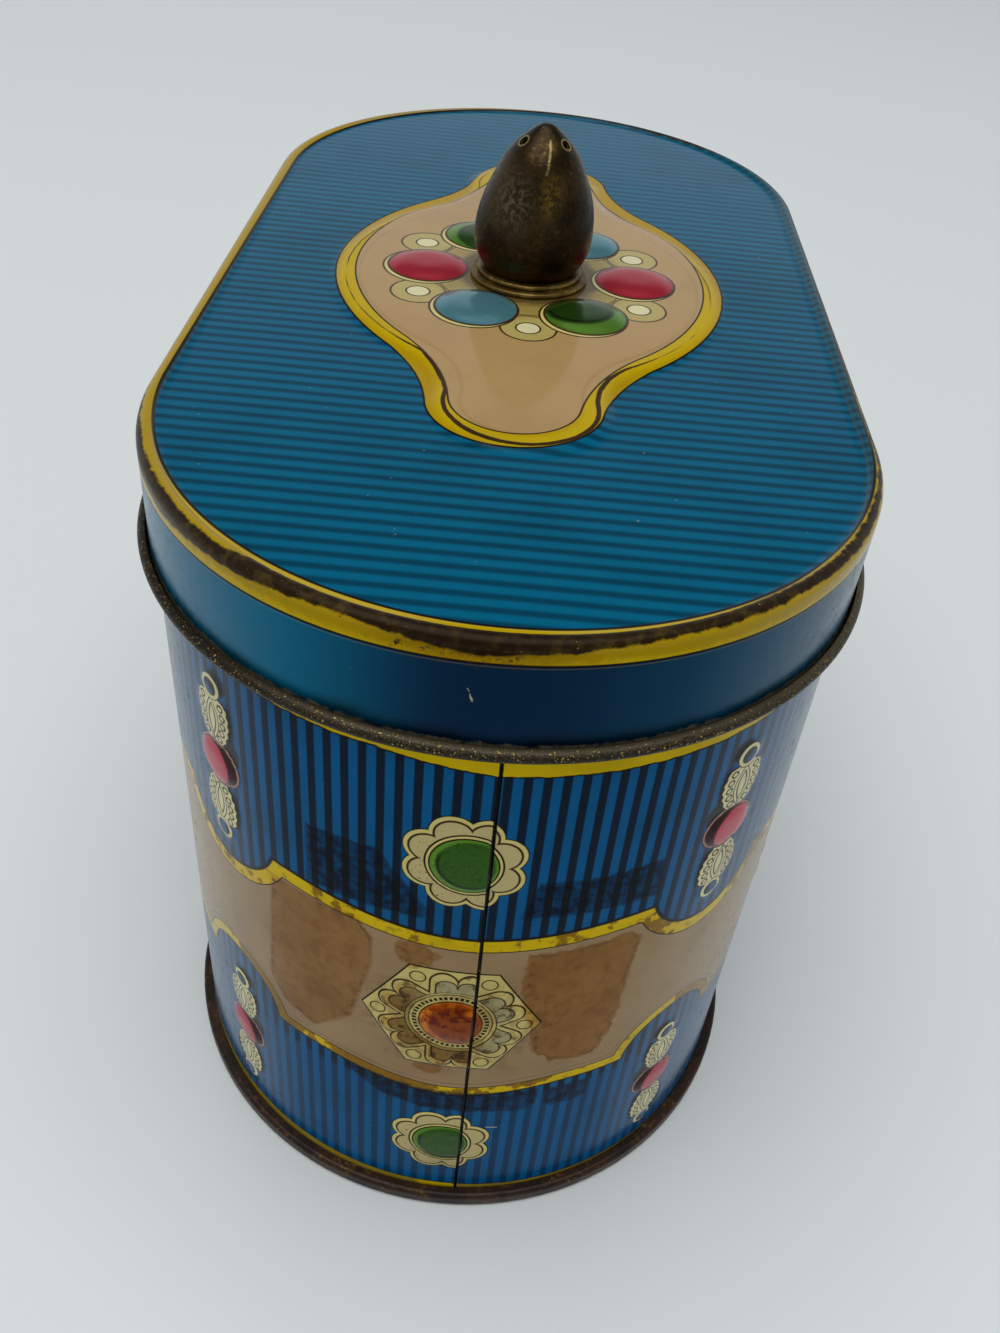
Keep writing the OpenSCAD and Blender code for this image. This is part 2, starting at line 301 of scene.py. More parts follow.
def hexagon(x, y, reach):
    """Corners at the left and at the right."""
    x, y = abs(x), abs(y)
    return most(x * math.cos(math.pi / 6) + y * 0.5, y) - reach * math.cos(math.pi / 6)


def about_centre(x, y, parts, start=0.0):
    """Folds the round about the centre onto one of so many equal parts, whose axis is at start."""
    reach = size(x, y)
    turn = fold(angle(x, y) - start, math.pi / parts)
    return reach, turn, reach * maths("COSINE", turn), reach * maths("SINE", turn)


def between(reach, turn, parts, out):
    """Distance from a point that lies so far out, midway between two parts."""
    aside = math.pi / parts - turn
    return size(reach * maths("COSINE", aside) - out, reach * maths("SINE", aside))


def patch(x, y, corners):
    """A patch with straight edges, whose corners are given counterclockwise."""
    sides = []
    for (x0, y0), (x1, y1) in zip(corners, corners[1:] + corners[:1]):
        span = math.hypot(x1 - x0, y1 - y0)
        sides.append((x - x0) * ((y1 - y0) / span) - (y - y0) * ((x1 - x0) / span))
    return most(*sides)


def petal(out, aside):
    """A flower's round petal, on its axis."""
    return size(out - 5.7, aside) - 3.05


def heart(out, aside, lobe_out, lobe_aside, lobe_r):
    """A heart's outer half, whose sides run straight to the centre."""
    lobes = size(out - lobe_out, aside - lobe_aside) - lobe_r
    return least(lobes, most(out - lobe_out, aside - lobe_aside - lobe_r))


def drop_frame(x, y):
    """The oval frame of a drop's stone."""
    return size((x - 0.2) * 0.86, y) - 3.7


def wing_edge(y):
    """How far a wing reaches aside at this height."""
    return 3.3 - 0.075 * (y - 0.7) * (y - 0.7)


def wing(x, y):
    """Half of a drop's wing, 8 mm high, with a scalloped edge."""
    scallop = 0.1 * maths("COSINE", y * (2 * math.pi / WING_PITCH))
    return most(x - wing_edge(y) - scallop, abs(y) - 4.05 + 0.08 * x * x)


def wall_print(s, z):
    """The place on the print that lies at this place of the wall."""
    print_s = s + PRINT_SHIFT + above(s, LOCK_S) * LOCK_LOSS
    return print_s, z + PRINT_SKEW * maths("SINE", s * (2 * math.pi / AROUND))


def from_middles(print_s):
    """How far to the right of the nearest flower's middle, and how far from the nearest drop's."""
    run = abs(print_s)
    way = fold(print_s, HALF_WAY)
    passed = above(run, HALF_WAY) * SIDE
    passed = passed + (above(run, QUARTER / 2) + above(run, AROUND / 2 - QUARTER / 2)) * QUARTER
    from_drop = pick(above(way, QUARTER), QUARTER / 2 - way, HALF_WAY - run)
    return maths("SIGN", print_s) * (run - passed), from_drop


def from_row(print_z, heights):
    """How far above the nearer of a pattern's two rows."""
    return print_z - heights[1] - above(print_z, BROOCH_Z) * (heights[0] - heights[1])


# The sheets' meshes


def spine(s):
    """The centre line's point that faces place s of the wall, and the way outwards from there."""
    run = np.abs(s)
    turn = (np.minimum(run, QUARTER) + np.maximum(run - QUARTER - SIDE, 0)) / WALL_R
    along = np.clip(run - QUARTER, 0, SIDE) - SIDE / 2
    return along, np.sign(s) * np.sin(turn), -np.cos(turn)


def steps(low, high, most_apart):
    """Equal steps from low up to high, which is left to what follows."""
    count = max(1, math.ceil((high - low) / most_apart - 1e-6))
    return list(np.linspace(low, high, count + 1)[:-1])


def arc(centre, radius, first, last, count):
    """Points of an arc, with the angles in degrees."""
    turns = np.radians(np.linspace(first, last, count))
    return [(centre[0] + radius * math.cos(t), centre[1] + radius * math.sin(t)) for t in turns]


def add_object(name, data):
    thing = bpy.data.objects.new(name, data)
    bpy.context.scene.collection.objects.link(thing)
    return thing


def grid_mesh(name, points, slots, materials, maps, closed):
    """A mesh from rows of points, with its flat maps. Every row is a section of the sheet."""
    rows, columns = points.shape[:2]
    last = columns if closed else columns - 1
    i, j = np.meshgrid(np.arange(rows), np.arange(last), indexing="ij")
    i2, j2 = (i + 1) % rows, (j + 1) % columns
    corners = np.stack([i * columns + j, i2 * columns + j, i2 * columns + j2, i * columns + j2], -1)
    mesh = bpy.data.meshes.new(name)
    mesh.from_pydata(points.reshape(-1, 3).tolist(), [], corners.reshape(-1, 4).tolist())
    for map_name, corner_map in maps.items():
        around = [(i, j), (i + 1, j), (i + 1, j + 1), (i, j + 1)]
        places = np.stack([corner_map(i, j, row, column) for row, column in around], 2)
        layer = mesh.uv_layers.new(name=map_name)
        layer.data.foreach_set("uv", places.reshape(-1).astype(np.float32))
    for material in materials:
        mesh.materials.append(material)
    mesh.polygons.foreach_set("material_index", np.tile(slots[:last], rows).astype(np.int32))
    join_points(mesh)
    return add_object(name, mesh)


def join_points(mesh, sharp=50, apart=1e-7):
    """Joins points that lie on each other, and shades the surface smoothly up to that angle."""
    edit = bmesh.new()
    edit.from_mesh(mesh)
    bmesh.ops.remove_doubles(edit, verts=edit.verts, dist=apart)
    bmesh.ops.dissolve_degenerate(edit, edges=edit.edges, dist=apart)
    bmesh.ops.recalc_face_normals(edit, faces=edit.faces)
    edit.to_mesh(mesh)
    edit.free()
    mesh.polygons.foreach_set("use_smooth", [True] * len(mesh.polygons))
    mesh.set_sharp_from_angle(angle=math.radians(sharp))


def cap(reach, radius, height, fullness):
    """Height of a round boss, whose foot runs softly into the sheet."""
    dome = height * (1 - (reach / radius) ** fullness)
    return 0.5 * (dome + np.sqrt(dome**2 + 0.1**2))


def wall_relief(s, z):
    """How far the pressed pattern stands out of the wall."""
    print_s, print_z = wall_print(s, z)
    from_flower, from_drop = from_middles(print_s)

    flower_y = from_row(print_z, FLOWER_Z)
    reach, _, out, aside = about_centre(from_flower, flower_y, PETALS, math.pi / PETALS)
    flower = 0.2 * ramp(-petal(out, aside), -0.5, 0.9) + cap(reach, 5.1, 0.7, 3)

    brooch_y = print_z - BROOCH_Z
    reach, _, out, aside = about_centre(from_flower, brooch_y, HEARTS, math.pi / HEARTS)
    plate = hexagon(from_flower, brooch_y, BROOCH_W)
    hearts = heart(out, aside, *OUTER_HEART)
    brooch = 0.25 * ramp(-plate, -0.5, 0.9) + 0.15 * ramp(-hearts, -0.4, 0.7) * above(reach, 6.8)
    brooch = brooch - 0.12 * ramp(0.7 - abs(reach - 6.9), 0, 0.6) + cap(reach, 5.2, 0.65, 3)

    drop_y = abs(from_row(print_z, DROP_Z))
    ring = size(from_drop, drop_y - DROP_RING_Y) - 1.9
    raised = least(wing(abs(from_drop), drop_y - WING_Y), ring)
    stone = cap(drop_frame(from_drop, drop_y) + 3.7, 3.6, 0.75, 5)
    drop = most(0.3 * ramp(-raised, -0.7, 0.5), stone)
    return most(flower, brooch, drop, 0)


def lid_relief(x, y):
    """How far the pressed pattern stands above the lid's panel."""
    inward = -cartouche(*moved(x, y, FRAME_PRESS), PRESSED)
    step = (CARTOUCHE_H - 0.07) * ramp(inward, -0.9, 1.7) + 0.07 * ramp(inward, 3.0, 4.6)
    _, _, out, aside = about_centre(*moved(x, y, JEWEL_DISCS), JEWELS)
    return step + cap(size(out - JEWEL_RING, aside), JEWEL_W / 2, JEWEL_H, 3.6)


def dents(s, z):
    """Slow unevenness of thin, handled sheet."""
    slow = np.sin(s / 13.0 + 1.3) * np.sin(z / 17.0 + 0.4) + 0.6 * np.sin(s / 7.3 + z / 11.0)
    return 0.035 * slow


def body_places():
    """Lines across the wall: close together where it is embossed, and at the seam."""
    flowers = [0, QUARTER, -QUARTER, QUARTER + SIDE, -QUARTER - SIDE, -AROUND / 2, AROUND / 2]
    drops = [QUARTER / 2, HALF_WAY, 1.5 * QUARTER + SIDE]
    dense = [(place, BROOCH_W + 2) for place in flowers]
    dense += [(sign * place, 6.5) for place in drops for sign in (1, -1)]
    here, marks = -AROUND / 2, []
    for place, reach in sorted(dense):
        low, high = max(place - reach, -AROUND / 2), min(place + reach, AROUND / 2)
        marks += steps(here, low, 2.0) if low > here else []
        marks += steps(low, high, 0.7 if abs(place) < QUARTER else 0.95)
        here = high
    marks = [m for m in marks if not LOCK_S - 0.6 < m < LOCK_S + 0.5]
    marks += [LOCK_S + x for x in (-0.5, -0.24, -0.16, -0.1, 0.1, 0.16, 0.3)]
    return np.unique(np.round(marks + [-HALF_WAY, 0, HALF_WAY], 6))


def strip_map(s, section, first, last, tiles):
    """Lays a band of the sheet flat on the bake's square, in equal lengths on one tile each."""
    along = np.append(0, np.cumsum(np.hypot(*np.diff(section, axis=0).T)))
    low, high = along[first], along[last]
    ends = np.append(s, s[0] + AROUND)
    length = AROUND / len(tiles)
    corner = np.array([tile[:2] for tile in tiles])
    span = np.array([tile[2:] for tile in tiles])
    across = np.append(along, along[-1] + 1)

    def place(i, row, column):
        index = np.clip(((s[i] - s[0] + 1e-4) // length).astype(int), 0, len(tiles) - 1)
        u = (ends[row] - s[0] - index * length) / length
        v = (across[column] - low) / (high - low)
        return corner[index] + span[index] * np.stack([u, v], -1)

    return place


def swept(s, r):
    """Points so far out from the centre line at these places of the wall."""
    along, out_x, out_y = spine(s)
    return out_x[:, None] * r, along[:, None] + out_y[:, None] * r


def body_section():
    """The sheet from its bend in the double seam, up the outside, over the curl and back inside."""
    curl_r = RIM_R - SHEET - LID_GAP
    curl = (WALL_R - curl_r, ROLL_Z)
    play = (SEAM_OUT - 3 * SHEET) / 3
    hook_r = WALL_R + play * 1.5 + SHEET
    hook_end = SEAM_H - SHEET - HOOK_GAP
    plain, pressed = 8, 99.5
    heights = steps(SEAM_BEND + SHEET, plain, 1.4) + steps(plain, pressed, 0.7)
    heights += steps(pressed, ROLL_Z, 1.6)
    outer = [(WALL_R, z) for z in heights]
    top = arc(curl, curl_r, 0, 180, 9) + arc(curl, curl_r - SHEET, 180, 0, 7)
    inside = [(WALL_R - SHEET, z) for z in reversed(steps(SEAM_BEND, ROLL_Z, 2.0))]
    hook = [(hook_r + SHEET, SEAM_BEND), (hook_r + SHEET, hook_end)]
    hook += [(hook_r, hook_end), (hook_r, SEAM_BEND + SHEET)]
    return outer, top, inside, hook


def body_maps(s, section, wall_end):
    """The wall's places in millimetres, and on the bake's square, where it has four tiles."""
    ends = np.append(s, s[0] + AROUND)
    heights = np.append(section[:, 1], section[0, 1])
    quarters = [(u, v, 0.494, 0.43) for v in (MARGIN, 0.44) for u in (MARGIN, 0.5 + MARGIN)]
    wall_tile = strip_map(s, section, 0, wall_end, quarters)
    rest_tile = strip_map(s, section, wall_end, len(section) - 1, [(MARGIN, 0.88, ACROSS, 0.108)])

    def flat(i, j, row, column):
        return np.stack([ends[row], heights[column]], -1)

    def bake(i, j, row, column):
        on_wall = (j < wall_end)[..., None]
        return np.where(on_wall, wall_tile(i, row, column), rest_tile(i, row, column))

    return {"flat": flat, "OFBake": bake}


def lock_relief(s, z):
    """The side seam's groove, and the sheet's folded edge that stands out beside it."""
    across = np.abs(s - LOCK_S)
    groove = 0.25 * ramp(0.24 - across, 0, 0.1) * ramp(z, SEAM_H, SEAM_H + 0.6)
    fold_edge = 0.1 * ramp(-across, -0.5, -0.2) * (s < LOCK_S)
    return fold_edge - groove


def make_body(materials):
    """The body's sheet, pressed from the inside, so that the pattern shows on both sides."""
    outer, top, inside, hook = body_section()
    section = np.array(outer + top + inside + hook)
    slots = np.array([0] * len(outer) + [1] * (len(section) - len(outer)))
    s = body_places()
    place, z = np.meshgrid(s, section[:, 1], indexing="ij")
    r = np.repeat(section[None, :, 0], len(s), 0)
    pressed = wall_relief(place, z) + dents(place, z) * ramp(z, 4, 14) * ramp(-z, -114, -104)
    r[:, : len(outer)] += (pressed + lock_relief(place, z))[:, : len(outer)]
    back = slice(len(outer) + len(top), len(section) - len(hook))
    r[:, back] += 0.75 * pressed[:, back]
    points = np.stack([*swept(s, r), z], -1) * MM
    maps = body_maps(s, section, len(outer))
    return grid_mesh("canister_body", points, slots, materials, maps, closed=True)


def lid_section():
    """The sheet from the middle of the panel over the rim and down to the hem, and back inside."""
    roll, roll_in = (ROLL_R, ROLL_Z), RIM_R - SHEET
    meet = math.degrees(math.asin((RIM_R - PANEL_DROP) / RIM_R))
    meet_in = math.degrees(math.asin((roll_in - PANEL_DROP) / roll_in))
    hem = (SKIRT_IN + HEM_R, HEM_Z)
    end = HEM_SLOT + SHEET - HEM_R
    end_in = math.degrees(math.acos(end / (HEM_R - SHEET)))
    end_out = math.degrees(math.acos(end / HEM_R))
    pressed, panel_edge = 39, ROLL_R - RIM_R * math.cos(math.radians(meet))
    panel = [(r, PANEL_Z) for r in steps(0, pressed, 0.62) + steps(pressed, panel_edge, 1.1)]
    over = arc(roll, RIM_R, 180 - meet, 0, 14)
    skirt = [(SKIRT_IN + SHEET, z) for z in reversed(steps(HEM_Z, ROLL_Z, 1.2))]
    curl = arc(hem, HEM_R - SHEET, 187, 360 + end_in, 12) + arc(hem, HEM_R, end_out, -180, 16)
    inside = [(SKIRT_IN, z) for z in steps(HEM_Z + 2, ROLL_Z, 3)]
    under = arc(roll, roll_in, 0, 180 - meet_in, 8)
    back = [(r, PANEL_Z - SHEET) for r in reversed(steps(0, panel_edge - 0.3, 2.0))]
    return panel, over, skirt, curl, inside + under, back


def lid_places():
    """Lines across the lid, close together along its straight sides."""
    left = steps(-AROUND / 2, -QUARTER - SIDE, 2.1)
    left += steps(-QUARTER - SIDE, -QUARTER, 0.62)
    left += steps(-QUARTER, 0, 2.1)
    return np.unique(np.round(left + [0] + [-place for place in left[1:]], 6))


def lid_maps(s, section, x, y, crown, lowest):
    """The lid on the bake's square: the top as it looks from above, the skirt on two tiles."""
    halves = [(MARGIN, v, ACROSS, 0.088) for v in (0.53, 0.625)]
    skirt_tile = strip_map(s, section, crown, lowest, halves)
    rest_tile = strip_map(s, section, lowest, len(section) - 1, [(MARGIN, 0.72, ACROSS, 0.27)])
    width = lid_high.y / MM

    def bake(i, j, row, column):
        at = (row % len(s), column)
        top = np.stack([y[at] / width, x[at] / width], -1) * ACROSS / 2 + (0.5, 0.264)
        on_top, on_skirt = (j < crown)[..., None], (j < lowest)[..., None]
        below = np.where(on_skirt, skirt_tile(i, row, column), rest_tile(i, row, column))
        return np.where(on_top, top, below)

    return {"OFBake": bake}


def make_lid(materials):
    """The lid's sheet: printed top, skirt and hem outside, plain tin inside."""
    panel, over, skirt, curl, inside, back = lid_section()
    section = np.array(panel + over + skirt + curl + inside + back)
    shown = [len(panel), len(over) + len(skirt) - 1, len(curl)]
    slots = np.repeat([0, 1, 2, 3], shown + [len(section) - sum(shown)])
    s = lid_places()
    r = np.repeat(section[None, :, 0], len(s), 0)
    x, y = swept(s, r)
    on_panel = np.zeros(len(section))
    on_panel[: len(panel)] = 1
    on_panel[-len(back):] = 1
    uneven = 0.05 * np.sin(x / 17 + 0.5) * np.sin(y / 23) * ramp(-r, -44, -34)
    z = section[None, :, 1] + on_panel * (lid_relief(x, y) + uneven)
    points = np.stack([x, y, z], -1) * MM
    maps = lid_maps(s, section, x, y, len(panel) + len(over) // 2, sum(shown))
    return grid_mesh("lid_shell_print", points, slots, materials, maps, closed=False)


# Colours, given as they look on a screen


def ink(red, green, blue):
    """A colour with parts from 0 to 255, as shaders need it."""
    parts = [part / 255 for part in (red, green, blue)]
    parts = [p / 12.92 if p <= 0.04045 else ((p + 0.055) / 1.055) ** 2.4 for p in parts]
    return (*parts, 1.0)


BLUE = ink(0, 84, 134)
NIGHT = ink(6, 18, 32)
LID_BLUE = ink(0, 92, 124)
LID_STRIPE = ink(0, 58, 80)
# The skirt's painted shade and reflections: navy for the shaded front, lighter blue and teal for the
# sides
SKIRT_SHADE_NAVY = ink(0, 34, 62)
SKIRT_SHEEN_BLUE = ink(0, 98, 130)
SKIRT_SHEEN_TEAL = ink(0, 70, 98)
YELLOW = ink(208, 176, 0)
LID_YELLOW = ink(188, 158, 0)
OCHRE = ink(150, 128, 40)
BEIGE = ink(173, 140, 90)
WALL_BEIGE = ink(156, 130, 95)
CREAM = ink(206, 190, 118)
PALE = ink(216, 208, 160)
GREY_GREEN = ink(170, 164, 122)
OLIVE = ink(140, 118, 52)
GOLD = ink(176, 158, 92)
TAN = ink(176, 158, 120)
BROWN = ink(104, 78, 40)
HONEY = ink(132, 100, 44)
UMBER = ink(58, 38, 20)
BLACK = ink(16, 11, 7)
RED = ink(172, 38, 54)
JEWEL_BLUE = ink(84, 134, 144)
JEWEL_GREEN = ink(36, 66, 18)
BRIGHT_GREEN = ink(88, 132, 40)
STONE_GREEN = ink(50, 86, 30)
PINK = ink(184, 80, 94)
MAROON = ink(50, 12, 14)
AMBER = ink(146, 66, 8)
ORANGE = ink(214, 122, 24)
GLUE = ink(228, 196, 144)
GREASE = ink(44, 78, 94)
DULL_PINK = ink(160, 122, 116)
DUST = ink(104, 94, 74)
GRIME = ink(150, 140, 120)
RUBBED_BRASS_AND_GLINT = ink(190, 170, 110)
WORN_DARK = ink(40, 25, 6)
WORN_LIGHT = ink(92, 76, 26)


class Paint:
    """Inks laid one over another on a material's ground."""

    def __init__(self, material, ground):
        self.material = material
        self.tree = material.node_tree
        self.colour = ground

    def lay(self, cover, colour, blend="MIX"):
        node = self.tree.nodes.new("ShaderNodeMix")
        node.data_type = "RGBA"
        node.blend_type = blend
        plug(self.tree, cover, node.inputs[0])
        plug(self.tree, self.colour, node.inputs[6])
        plug(self.tree, colour, node.inputs[7])
        self.colour = node.outputs[2]
        return self

    def tint(self, cover, colour):
        """Darkens what lies below, as a stain or a glaze does."""
        return self.lay(cover, colour, "MULTIPLY")

    def edged(self, outline, colour, border=0.18, edge=BLACK, soft=SOFT):
        """A shape in one ink, with a dark line drawn round it."""
        return self.lay(fade(outline - border, soft), edge).lay(fade(outline, soft), colour)


def new_material(name):
    material = bpy.data.materials.new(name)
    material.use_nodes = True
    return material


def flat_place(tree):
    """Where a point lies on the flat sheet, in millimetres, from the mesh's flat map."""
    node = tree.nodes.new("ShaderNodeUVMap")
    node.uv_map = "flat"
    return parts_of(tree, node.outputs[0])[:2]


def space_place(tree):
    """Where a point lies in space, in millimetres, with its socket as a vector in metres."""
    where = tree.nodes.new("ShaderNodeTexCoord").outputs["Object"]
    x, y, z = (part * (1 / MM) for part in parts_of(tree, where))
    return x, y, z, where


def noise(tree, where, grain, detail, rough=0.5, stretch=(1, 1, 1)):
    """Cloudy variation about 0.5, with features of about this size in millimetres."""
    if stretch != (1, 1, 1):
        scaled = tree.nodes.new("ShaderNodeVectorMath")
        scaled.operation = "MULTIPLY"
        scaled.inputs[1].default_value = stretch
        tree.links.new(where, scaled.inputs[0])
        where = scaled.outputs[0]
    node = tree.nodes.new("ShaderNodeTexNoise")
    node.inputs["Scale"].default_value = 1 / (grain * MM)
    node.inputs["Detail"].default_value = detail
    node.inputs["Roughness"].default_value = rough
    tree.links.new(where, node.inputs["Vector"])
    return Field(tree, node.outputs[0])


def noises(tree, where, *grains):
    return [noise(tree, where, *grain) for grain in grains]


def finish_material(paint, rough, height, gloss, metal):
    """The painted colour, how rough and shiny it is, and its small relief in millimetres."""
    tree = paint.tree
    shader = tree.nodes["Principled BSDF"]
    plug(tree, paint.colour, shader.inputs["Base Color"])
    plug(tree, rough, shader.inputs["Roughness"])
    plug(tree, metal, shader.inputs["Metallic"])
    plug(tree, gloss, shader.inputs["Specular IOR Level"])
    node = tree.nodes.new("ShaderNodeBump")
    node.inputs["Distance"].default_value = MM
    plug(tree, height, node.inputs["Height"])
    tree.links.new(node.outputs[0], shader.inputs["Normal"])
    return paint.material


# The wall's print


def lay_flower(paint, x, y, speck):
    """A round green stone in a ring of petals. Returns the distance from the stone's edge."""
    reach, _, out, aside = about_centre(x, y, PETALS, math.pi / PETALS)
    paint.edged(petal(out, aside), CREAM)
    inner = size(out - 5.6, aside) - 2.45
    paint.lay(fade(inner) * 0.6, TAN)
    paint.lay(line(inner, 0.32), UMBER)
    paint.lay(ramp(speck, 0.6, 0.68) * fade(inner) * fade(x + y + 2, 3) * 0.7, BROWN)
    paint.edged(reach - 5.38, CREAM, 0.27)
    paint.edged(reach - 4.85, BRIGHT_GREEN, 0.23)
    paint.lay(fade(size(x - 0.25, y - 0.2) - 4.35, 0.3), STONE_GREEN)
    shade = line(size(x - 0.2, y - 0.3) - 4.1, 0.5, 0.3) * fade(x + y + 1.5, 1.5)
    paint.tint(shade * 0.8, ink(90, 110, 70))
    paint.lay(ramp(speck, 0.5, 0.75) * fade(reach - 4.6) * 0.5, BLACK)
    return reach - 4.8


def lay_brooch(paint, x, y, fine):
    """A six-sided plate with hearts, a ring of beads and an amber stone. Returns as lay_flower does."""
    paint.edged(hexagon(x, y, BROOCH_W), CREAM, 0.25)
    reach, turn, out, aside = about_centre(x, y, HEARTS, math.pi / HEARTS)
    outer = heart(out, aside, *OUTER_HEART)
    inner = heart(out, aside, *INNER_HEART)
    worn = ramp(x + y * 0.8 + (fine - 0.5) * 8, 4, -5)
    paint.lay(fade(inner), GREY_GREEN)
    paint.tint(fade(outer + 0.4, 1.0) * worn * 0.8, GLUE)
    paint.lay(fade(inner, 0.4) * worn * 0.85, HONEY)
    paint.tint(ramp(fine, 0.56, 0.68) * fade(outer) * 0.7, BROWN)
    paint.lay(line(outer, 0.3), UMBER)
    paint.lay(line(inner, 0.24), UMBER)
    spot = between(reach, turn, HEARTS, 11.1) - 1.1
    paint.lay(line(spot, 0.22), UMBER)
    paint.edged(reach - 7.05, CREAM, 0.17)
    paint.tint(fade(reach - 7.05) * worn * 0.8, TAN)
    paint.edged(reach - 6.45, CREAM, 0.16)
    bead_aside = fold(angle(x, y), math.pi / BEADS) * BEAD_RING
    bead = most(abs(reach - BEAD_RING) - 0.3, bead_aside - 0.23)
    paint.lay(fade(bead), BLACK)
    paint.edged(reach - 5.0, ORANGE, 0.2)
    # Painted reflection: the amber is laid off centre and spares a spot at its upper right, so orange
    # shows there and along its left and top edge.
    spared = size(x - 2.2, y - 3.0) - 0.9
    amber = most(size(x - 0.6, y + 0.3) - 4.4, -spared) + (fine - 0.5) * 2.2
    paint.lay(fade(amber, 0.7), AMBER)
    paint.tint(ramp(fine + y * 0.03, 0.5, 0.62) * fade(reach - 4.8, 0.5) * 0.8, ink(180, 120, 90))
    return reach - 4.9


def lay_drop(paint, x, y):
    """A pink stone between two filigree wings with a ring at each end. Returns as lay_flower does."""
    far, aside = abs(y), abs(x)
    wing_y = far - WING_Y
    shape = wing(aside, wing_y)
    ring = size(x, far - DROP_RING_Y)
    shade = least(wing(abs(x - 0.6), wing_y), size(x - 1.2, y - DROP_RING_Y - 1.2) - 1.9)
    shade = least(shade, size(x - 3.0, (y - 3.2) * 0.8) - 1.9)
    paint.lay(fade(shade, 0.6) * 0.95, BLACK)
    paint.edged(shape, PALE, 0.2, UMBER)
    row = most(least(maths("ROUND", wing_y / WING_PITCH), 2), -2) * WING_PITCH
    hole = size(aside - wing_edge(row) + 1.0, wing_y - row) - 0.5
    paint.lay(line(hole, 0.26), UMBER)
    curve = aside + 0.1 * wing_y * wing_y
    paint.lay(line(curve - 0.7, 0.26) * fade(abs(wing_y) - 2.7), UMBER)
    paint.lay(line(curve - 1.35, 0.2) * fade(abs(wing_y) - 3.4), UMBER)
    paint.lay(line(x, 0.24) * fade(wing_y + 2.4), UMBER)
    paint.edged(abs(ring - 1.6) - 0.26, PALE, 0.15, UMBER)
    frame_edge = drop_frame(x, y)
    stone = size(x + 0.45, y + 0.25) - 3.45
    paint.edged(frame_edge - 0.1, DULL_PINK, 0.16)
    paint.lay(fade(frame_edge + 0.16), MAROON)
    paint.lay(fade(stone, 0.25), PINK)
    return stone


def lay_borders(paint, print_z, from_flower, from_drop, broad, fine):
    """The beige band between its two yellow borders, which bow round the drops."""
    near = least(abs(from_flower), 40)
    upper = BAND_TOP + TOP_RISE * ramp(near, 0, TOP_REACH) - print_z
    upper = least(upper, size(from_drop, print_z - TOP_BOW[0]) - TOP_BOW[1])
    lower = print_z - BAND_FOOT - FOOT_RISE * ramp(near, 0, FOOT_REACH)
    lower = least(lower, size(from_drop, print_z - FOOT_BOW[0]) - FOOT_BOW[1])
    band = -least(upper, lower)
    beige = -least(upper - TOP_BORDER, lower - FOOT_BORDER)
    paint.edged(band, YELLOW, 0.35, soft=0.2)
    kept_high = 0.2 * ramp(-abs(from_flower - 1.5), -9, -4)
    kept_low = 0.35 * ramp(from_flower, 15, 20) - 0.14
    kept = pick(above(BROOCH_Z, print_z), kept_high, kept_low)
    rubbed = ramp(broad + (fine - 0.5) * 0.6 - kept, 0.5, 0.56)
    paint.tint(rubbed * fade(band) * 0.85, ink(160, 128, 100))
    paint.lay(line(upper + 0.3, 0.6, 0.2) * 0.8, BLACK)
    paint.lay(ramp(fine, 0.54, 0.66) * fade(band) * 0.5, BROWN)
    paint.edged(beige, WALL_BEIGE, 0.2)
    paint.lay(line(lower - 2.9, 0.14, 0.2) * 0.5, UMBER)


def lay_ends(paint, s, z, print_z, fine):
    """The yellow strips under the lid's hem and over the double seam."""
    off = s - LOCK_S
    hem_edge = HEM_STRIP_Z + least(0.11 * most(-off, 0) + 0.015 * most(off, 0), 1.6)
    strip = hem_edge - z + (fine - 0.5) * 0.5
    paint.edged(strip, YELLOW, 0.25)
    foot = print_z - FOOT_STRIP_Z
    paint.edged(foot, OCHRE, 0.2)
    bright = patch(s, z, [(-4, 1.5), (2.3, 1.5), (2.3, 6), (-4, 6)])
    paint.lay(fade(foot) * fade(bright + (fine - 0.5) * 2, 1.0), YELLOW)
    bare = most(z - 106.6, 2.4 - z) + (fine - 0.5) * 1.2
    paint.lay(fade(-bare, 0.4), WORN_DARK)


# Corners of the old tape's marks: place along the wall and height, counterclockwise
LEFT_GLUE = [
    (-30.3, 46), (-27.5, 41.5), (-22, 40), (-15.6, 47),
    (-12.6, 61), (-12.4, 67), (-14.5, 70.2), (-28.5, 70.5),
]
RIGHT_GLUE = [
    (11.6, 44), (14.5, 40.2), (21.5, 39.6), (23.6, 46),
    (25.2, 67), (23, 68.7), (9, 67.5), (8.6, 60),
]
SMEARS = [
    [(-22, 74), (-5.5, 74), (-5.5, 76), (-12, 85.5), (-22, 85)],
    [(7, 75.5), (26, 75.5), (26, 82.5), (9, 82)],
    [(-6, 28.5), (-4.5, 27.6), (12, 27.6), (13.4, 29), (13.4, 32.8), (-6, 32.8)],
    [(14.8, 28.5), (16, 27.4), (20.5, 27.4), (21.8, 28.5), (21.8, 32.4), (14.8, 32.4)],
    [(-17.5, 34.8), (-16, 33), (-11, 29), (-6, 28.2), (-6, 33.4)],
]


